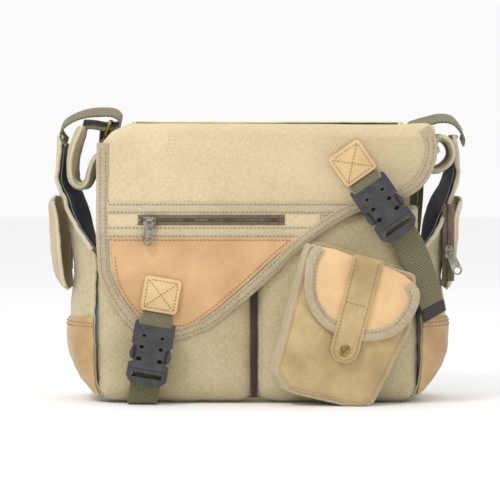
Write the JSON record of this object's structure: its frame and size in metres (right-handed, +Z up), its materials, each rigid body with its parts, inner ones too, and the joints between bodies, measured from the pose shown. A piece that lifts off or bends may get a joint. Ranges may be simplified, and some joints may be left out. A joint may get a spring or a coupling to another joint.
{
  "type": "messenger bag",
  "caption": "Canvas messenger bag with a slanting buckled flap, tan leather panels, side pockets, a small front pouch and a webbing shoulder strap.",
  "frame": {"origin": "bottom centre of the bounding box, on the ground under the bag", "axes": "+X along the bag's width, the longest extent, to the right when the flap faces the viewer; +Y to the back; +Z up"},
  "size_m": [0.4276, 0.1764, 0.2936],
  "materials": {
    "canvas": "coarse sand-coloured cotton canvas, washed, matte",
    "leather": "tan nubuck, soft nap, matte",
    "binding": "folded cotton tape, matte",
    "webbing": "olive cotton webbing with a diagonal weave",
    "lining": "thin blue-grey lining cloth",
    "plastic": "charcoal moulded plastic, satin",
    "brass": "antique brass, brushed",
    "nickel": "worn nickel plate",
    "zip": "brown zip tape and dark coil",
    "foam": "stiffener board",
    "tip": "dark brown strap end"
  },
  "bodies": {
    "bag": {"accessory_pouch": "leather", "back_wall": "canvas", "base_board": "foam", "base_panel": "canvas", "front_pocket_left": "canvas", "front_pocket_right": "canvas", "front_wall": "canvas", "front_zip": "zip", "left_corner_leather": "leather", "left_ear": "canvas", "left_pocket_lining": "lining", "left_side_panel": "canvas", "left_side_pouch": "canvas", "left_strap_loop": "webbing", "left_wall": "canvas", "left_webbing_lower": "webbing", "main_lining": "lining", "right_corner_leather": "leather", "right_ear": "canvas", "right_pocket_lining": "lining", "right_side_panel": "canvas", "right_side_pouch": "canvas", "right_strap_loop": "webbing", "right_wall": "canvas", "right_webbing_lower": "webbing", "right_webbing_tip": "tip", "shoulder_strap": "webbing", "snap_post": "brass"},
    "flap_lid": {"flap_top": "canvas"},
    "flap_drop": {"flap_front": "canvas", "flap_leather": "leather", "flap_binding": "binding", "zip_tape": "zip", "zip_teeth": "zip", "left_patch": "leather", "right_patch": "leather", "left_webbing_upper": "webbing", "right_webbing_upper": "webbing", "left_buckle_socket": "plastic", "right_buckle_socket": "plastic"},
    "left_plug": {"left_buckle_plug": "plastic"},
    "right_plug": {"right_buckle_plug": "plastic"},
    "left_release_outer": {"left_release_outer": "plastic"},
    "left_release_inner": {"left_release_inner": "plastic"},
    "right_release_outer": {"right_release_outer": "plastic"},
    "right_release_inner": {"right_release_inner": "plastic"},
    "pouch_cover": {"pouch_flap": "leather", "pouch_flap_binding": "binding", "pouch_strap": "leather", "snap_cap": "brass"},
    "left_ring": {"left_ring": "brass"},
    "right_ring": {"right_ring": "brass"},
    "shoulder_pad": {"shoulder_pad": "canvas"},
    "flap_zip_slider": {"flap_zip_slider": "nickel"},
    "flap_zip_pull": {"flap_zip_pull": "nickel"},
    "left_zip_slider": {"left_zip_slider": "nickel"},
    "left_zip_pull": {"left_zip_pull": "nickel"},
    "right_zip_slider": {"right_zip_slider": "nickel"},
    "right_zip_pull": {"right_zip_pull": "nickel"}
  },
  "joints": [
    {"name": "flap_hinge", "type": "hinge", "parent": "bag", "child": "flap_lid", "pos_m": [0, 0.0682, 0.281], "axis": [-1, 0, 0], "range_deg": [0, 180]},
    {"name": "flap_fold", "type": "hinge", "parent": "flap_lid", "child": "flap_drop", "pos_m": [0, -0.0538, 0.281], "axis": [-1, 0, 0], "range_deg": [0, 165]},
    {"name": "pouch_cover_hinge", "type": "hinge", "parent": "bag", "child": "pouch_cover", "pos_m": [0.099, -0.08, 0.1465], "axis": [-0.9525, 0, 0.3046], "range_deg": [0, 120]},
    {"name": "left_plug_slide", "type": "slide", "parent": "bag", "child": "left_plug", "axis": [-0.1736, 0, -0.9848], "range_m": [0, 0.012]},
    {"name": "left_release_outer_hinge", "type": "hinge", "parent": "left_plug", "child": "left_release_outer", "pos_m": [-0.12278, -0.0698, 0.03954], "axis": [0, 1, 0], "range_deg": [0, 8], "stiffness_Nm_per_rad": 0.05},
    {"name": "left_release_inner_hinge", "type": "hinge", "parent": "left_plug", "child": "left_release_inner", "pos_m": [-0.09678, -0.0698, 0.03495], "axis": [0, -1, 0], "range_deg": [0, 8], "stiffness_Nm_per_rad": 0.05},
    {"name": "right_plug_slide", "type": "slide", "parent": "bag", "child": "right_plug", "axis": [0.5736, 0, -0.8192], "range_m": [0, 0.02]},
    {"name": "right_release_outer_hinge", "type": "hinge", "parent": "right_plug", "child": "right_release_outer", "pos_m": [0.12336, -0.0698, 0.17682], "axis": [0, 1, 0], "range_deg": [0, 8], "stiffness_Nm_per_rad": 0.05},
    {"name": "right_release_inner_hinge", "type": "hinge", "parent": "right_plug", "child": "right_release_inner", "pos_m": [0.14499, -0.0698, 0.19196], "axis": [0, -1, 0], "range_deg": [0, 8], "stiffness_Nm_per_rad": 0.05},
    {"name": "flap_zip_slide", "type": "slide", "parent": "flap_drop", "child": "flap_zip_slider", "axis": [1, 0, 0], "range_m": [0, 0.128]},
    {"name": "flap_zip_swing", "type": "hinge", "parent": "flap_zip_slider", "child": "flap_zip_pull", "pos_m": [-0.108, -0.0666, 0.186], "axis": [-1, 0, 0], "range_deg": [0, 150]},
    {"name": "left_zip_slide", "type": "slide", "parent": "bag", "child": "left_zip_slider", "axis": [0, 0, 1], "range_m": [-0.03, 0.02]},
    {"name": "left_zip_swing", "type": "hinge", "parent": "left_zip_slider", "child": "left_zip_pull", "pos_m": [-0.199, 0.0632, 0.177], "axis": [1, 0, 0], "range_deg": [0, 150]},
    {"name": "right_zip_slide", "type": "slide", "parent": "bag", "child": "right_zip_slider", "axis": [0, 0, 1], "range_m": [-0.02, 0.04]},
    {"name": "right_zip_swing", "type": "hinge", "parent": "right_zip_slider", "child": "right_zip_pull", "pos_m": [0.193, -0.0318, 0.154], "axis": [-1, 0, 0], "range_deg": [0, 150]},
    {"name": "left_ring_hinge", "type": "hinge", "parent": "bag", "child": "left_ring", "pos_m": [-0.1505, 0.0252, 0.2837], "axis": [0, 1, 0], "range_deg": [-15, 30]},
    {"name": "right_ring_hinge", "type": "hinge", "parent": "bag", "child": "right_ring", "pos_m": [0.1615, 0.0252, 0.2766], "axis": [0, 1, 0], "range_deg": [-20, 20]},
    {"name": "shoulder_pad_slide", "type": "slide", "parent": "bag", "child": "shoulder_pad", "axis": [1, 0, 0], "range_m": [-0.02, 0.02]}
  ]
}
